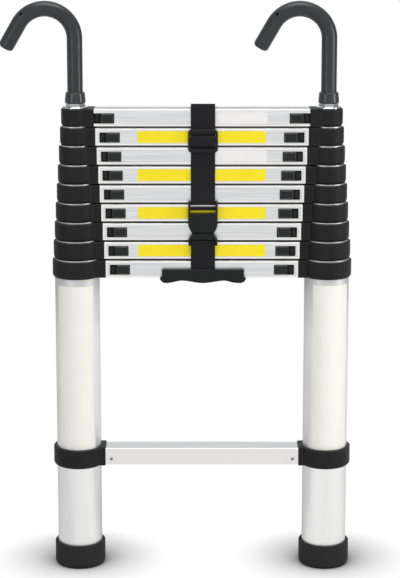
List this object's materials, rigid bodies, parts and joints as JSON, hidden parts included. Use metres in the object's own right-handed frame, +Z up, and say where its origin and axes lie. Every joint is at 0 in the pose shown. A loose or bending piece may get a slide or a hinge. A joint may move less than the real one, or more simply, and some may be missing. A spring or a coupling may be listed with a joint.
{
  "type": "telescopic ladder",
  "caption": "Folded telescopic ladder: nested aluminium stile tubes with black lock collars, slide-lock rungs, roof hooks, rubber feet and a buckled carrying strap.",
  "frame": {"origin": "on the floor, midway between the two feet, at the middle of the stiles' depth", "axes": "+X to the right seen from the button side, +Y from the button side to the back, +Z up along the stiles"},
  "size_m": [0.5396, 0.0796, 0.8886],
  "materials": {
    "tube_aluminium": "clear anodised, satin",
    "rung_aluminium": "clear anodised, satin",
    "rivet_aluminium": "bare",
    "collar_plastic": "moulded, matte",
    "button_plastic": "moulded, satin",
    "foot_rubber": "moulded, matte",
    "sleeve_plastic": "moulded, satin",
    "hook_coating": "dipped plastic coating, satin",
    "nut_zinc": "bright zinc plated",
    "webbing": "woven polypropylene",
    "buckle_plastic": "moulded acetal, satin"
  },
  "bodies": {
    "base": {"feet": "foot_rubber", "lower_clamps": "collar_plastic", "rung_rivets": "rivet_aluminium", "rung_1": "rung_aluminium", "tubes_1": "tube_aluminium", "rung_2": "rung_aluminium", "lock_collars_1": "collar_plastic", "strap_lower": "webbing", "buckle_plug": "buckle_plastic", "carry_grip": "buckle_plastic"},
    "section_2": {"tubes_2": "tube_aluminium", "rung_3": "rung_aluminium", "lock_collars_2": "collar_plastic"},
    "section_3": {"tubes_3": "tube_aluminium", "rung_4": "rung_aluminium", "lock_collars_3": "collar_plastic"},
    "section_4": {"tubes_4": "tube_aluminium", "rung_5": "rung_aluminium", "lock_collars_4": "collar_plastic"},
    "section_5": {"tubes_5": "tube_aluminium", "rung_6": "rung_aluminium", "lock_collars_5": "collar_plastic"},
    "section_6": {"tubes_6": "tube_aluminium", "rung_7": "rung_aluminium", "lock_collars_6": "collar_plastic"},
    "section_7": {"tubes_7": "tube_aluminium", "rung_8": "rung_aluminium", "lock_collars_7": "collar_plastic"},
    "section_8": {"tubes_8": "tube_aluminium", "rung_9": "rung_aluminium", "lock_collars_8": "collar_plastic"},
    "section_9": {"tubes_9": "tube_aluminium", "rung_10": "rung_aluminium", "top_collars": "collar_plastic", "top_plugs": "tube_aluminium", "top_rung_covers": "button_plastic", "hook_lock_nuts": "nut_zinc", "strap_upper": "webbing", "strap_slide": "buckle_plastic", "buckle_socket": "buckle_plastic"},
    "button_2_left": {"button_2_left": "button_plastic"},
    "button_2_right": {"button_2_right": "button_plastic"},
    "button_3_left": {"button_3_left": "button_plastic"},
    "button_3_right": {"button_3_right": "button_plastic"},
    "button_4_left": {"button_4_left": "button_plastic"},
    "button_4_right": {"button_4_right": "button_plastic"},
    "button_5_left": {"button_5_left": "button_plastic"},
    "button_5_right": {"button_5_right": "button_plastic"},
    "button_6_left": {"button_6_left": "button_plastic"},
    "button_6_right": {"button_6_right": "button_plastic"},
    "button_7_left": {"button_7_left": "button_plastic"},
    "button_7_right": {"button_7_right": "button_plastic"},
    "button_8_left": {"button_8_left": "button_plastic"},
    "button_8_right": {"button_8_right": "button_plastic"},
    "button_9_left": {"button_9_left": "button_plastic"},
    "button_9_right": {"button_9_right": "button_plastic"},
    "hook_left": {"hook_left": "hook_coating", "hook_sleeve_left": "sleeve_plastic"},
    "hook_right": {"hook_right": "hook_coating", "hook_sleeve_right": "sleeve_plastic"}
  },
  "joints": [
    {"name": "section_2_slide", "type": "slide", "parent": "base", "child": "section_2", "axis": [0, 0, 1], "range_m": [0, 0.2707]},
    {"name": "section_3_slide", "type": "slide", "parent": "section_2", "child": "section_3", "axis": [0, 0, 1], "range_m": [0, 0.2707]},
    {"name": "section_4_slide", "type": "slide", "parent": "section_3", "child": "section_4", "axis": [0, 0, 1], "range_m": [0, 0.2707]},
    {"name": "section_5_slide", "type": "slide", "parent": "section_4", "child": "section_5", "axis": [0, 0, 1], "range_m": [0, 0.2707]},
    {"name": "section_6_slide", "type": "slide", "parent": "section_5", "child": "section_6", "axis": [0, 0, 1], "range_m": [0, 0.2707]},
    {"name": "section_7_slide", "type": "slide", "parent": "section_6", "child": "section_7", "axis": [0, 0, 1], "range_m": [0, 0.2707]},
    {"name": "section_8_slide", "type": "slide", "parent": "section_7", "child": "section_8", "axis": [0, 0, 1], "range_m": [0, 0.2707]},
    {"name": "section_9_slide", "type": "slide", "parent": "section_8", "child": "section_9", "axis": [0, 0, 1], "range_m": [0, 0.2707]},
    {"name": "button_2_left_slide", "type": "slide", "parent": "base", "child": "button_2_left", "axis": [-1, 0, 0], "range_m": [0, 0.0095]},
    {"name": "button_2_right_slide", "type": "slide", "parent": "base", "child": "button_2_right", "axis": [1, 0, 0], "range_m": [0, 0.0095]},
    {"name": "button_3_left_slide", "type": "slide", "parent": "section_2", "child": "button_3_left", "axis": [-1, 0, 0], "range_m": [0, 0.0095]},
    {"name": "button_3_right_slide", "type": "slide", "parent": "section_2", "child": "button_3_right", "axis": [1, 0, 0], "range_m": [0, 0.0095]},
    {"name": "button_4_left_slide", "type": "slide", "parent": "section_3", "child": "button_4_left", "axis": [-1, 0, 0], "range_m": [0, 0.0095]},
    {"name": "button_4_right_slide", "type": "slide", "parent": "section_3", "child": "button_4_right", "axis": [1, 0, 0], "range_m": [0, 0.0095]},
    {"name": "button_5_left_slide", "type": "slide", "parent": "section_4", "child": "button_5_left", "axis": [-1, 0, 0], "range_m": [0, 0.0095]},
    {"name": "button_5_right_slide", "type": "slide", "parent": "section_4", "child": "button_5_right", "axis": [1, 0, 0], "range_m": [0, 0.0095]},
    {"name": "button_6_left_slide", "type": "slide", "parent": "section_5", "child": "button_6_left", "axis": [-1, 0, 0], "range_m": [0, 0.0095]},
    {"name": "button_6_right_slide", "type": "slide", "parent": "section_5", "child": "button_6_right", "axis": [1, 0, 0], "range_m": [0, 0.0095]},
    {"name": "button_7_left_slide", "type": "slide", "parent": "section_6", "child": "button_7_left", "axis": [-1, 0, 0], "range_m": [0, 0.0095]},
    {"name": "button_7_right_slide", "type": "slide", "parent": "section_6", "child": "button_7_right", "axis": [1, 0, 0], "range_m": [0, 0.0095]},
    {"name": "button_8_left_slide", "type": "slide", "parent": "section_7", "child": "button_8_left", "axis": [-1, 0, 0], "range_m": [0, 0.0095]},
    {"name": "button_8_right_slide", "type": "slide", "parent": "section_7", "child": "button_8_right", "axis": [1, 0, 0], "range_m": [0, 0.0095]},
    {"name": "button_9_left_slide", "type": "slide", "parent": "section_8", "child": "button_9_left", "axis": [-1, 0, 0], "range_m": [0, 0.0095]},
    {"name": "button_9_right_slide", "type": "slide", "parent": "section_8", "child": "button_9_right", "axis": [1, 0, 0], "range_m": [0, 0.0095]},
    {"name": "hook_left_turn", "type": "hinge", "parent": "section_9", "child": "hook_left", "pos_m": [-0.193, 0, 0.7264], "axis": [0, 0, 1], "continuous": true},
    {"name": "hook_right_turn", "type": "hinge", "parent": "section_9", "child": "hook_right", "pos_m": [0.193, 0, 0.7264], "axis": [0, 0, 1], "continuous": true}
  ]
}
